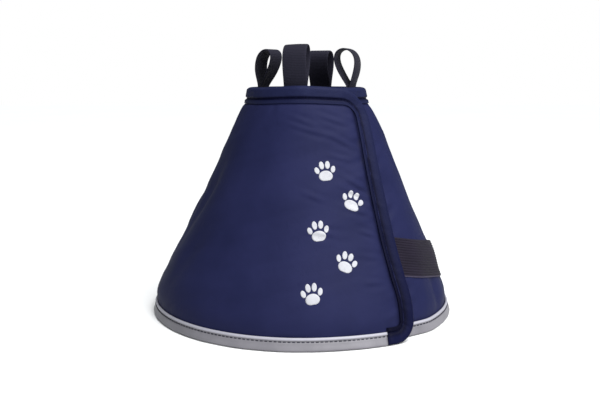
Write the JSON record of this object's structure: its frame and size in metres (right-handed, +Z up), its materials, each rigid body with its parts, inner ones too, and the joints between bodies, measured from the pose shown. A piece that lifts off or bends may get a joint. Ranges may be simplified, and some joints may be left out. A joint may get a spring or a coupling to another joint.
{
  "type": "elizabethan collar",
  "caption": "Soft padded wrap-around recovery cone for a pet, standing on its wide hem, with webbing loops at the neck and a closure strap.",
  "frame": {"origin": "on the floor at the middle of the hem's bounding box", "axes": "+Z up from the hem to the neck, -Y towards the front, +X towards the side with the flap's edge and the strap"},
  "size_m": [0.3213, 0.3209, 0.2812],
  "materials": {
    "navy_nylon": "coated nylon with a soft sheen",
    "navy_binding": "folded nylon binding, satin",
    "reflective_tape": "grey reflective tape, satin",
    "black_webbing": "matte woven webbing",
    "ribbed_strap": "matte ribbed strap"
  },
  "bodies": {
    "root": {"padded_panel": "navy_nylon", "neck_binding": "navy_binding", "flap_binding": "navy_binding", "inner_end_binding": "navy_binding", "hem_tape": "reflective_tape", "neck_loop_front": "black_webbing", "neck_loop_right": "black_webbing", "neck_loop_back": "black_webbing", "neck_loop_left": "black_webbing", "closure_strap": "ribbed_strap"}
  },
  "joints": []
}
